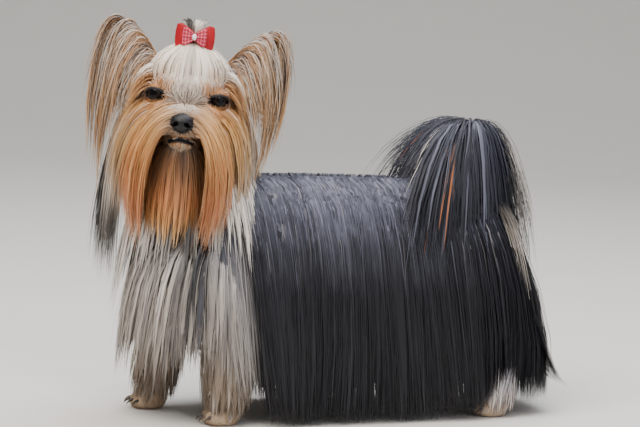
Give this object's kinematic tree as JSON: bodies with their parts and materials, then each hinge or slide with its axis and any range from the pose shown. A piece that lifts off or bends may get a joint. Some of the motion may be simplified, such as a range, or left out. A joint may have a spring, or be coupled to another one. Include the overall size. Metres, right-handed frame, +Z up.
{
  "type": "yorkshire terrier",
  "caption": "Standing Yorkshire terrier in a floor-length show coat, head turned to its left, with a ribbon bow in its topknot.",
  "frame": {"origin": "on the floor, under the middle of the dog's bounding box", "axes": "-Y forwards along the body from rump to chest, +X to the dog's left, +Z up"},
  "size_m": [0.1424, 0.4436, 0.3416],
  "materials": {
    "steel_coat": "long silky dark steel-blue hair",
    "silver_coat": "long silky silver and tan hair",
    "tan_coat": "long silky golden tan hair",
    "eye": "wet dark brown eye",
    "nose_leather": "moist black nose",
    "red_ribbon": "red satin",
    "check_ribbon": "red and white checked ribbon",
    "pearl": "pearly white"
  },
  "bodies": {
    "root": {"torso": "steel_coat", "coat_left": "steel_coat", "coat_right": "steel_coat", "tail": "steel_coat", "neck": "silver_coat", "foreleg_left": "silver_coat", "foreleg_right": "silver_coat", "hindleg_left": "silver_coat", "hindleg_right": "silver_coat", "head": "tan_coat", "ear_left": "tan_coat", "ear_right": "tan_coat", "eye_left": "eye", "eye_right": "eye", "nose": "nose_leather", "bow_ribbon": "red_ribbon", "bow_check_ribbon": "check_ribbon", "bow_bead": "pearl"}
  },
  "joints": []
}
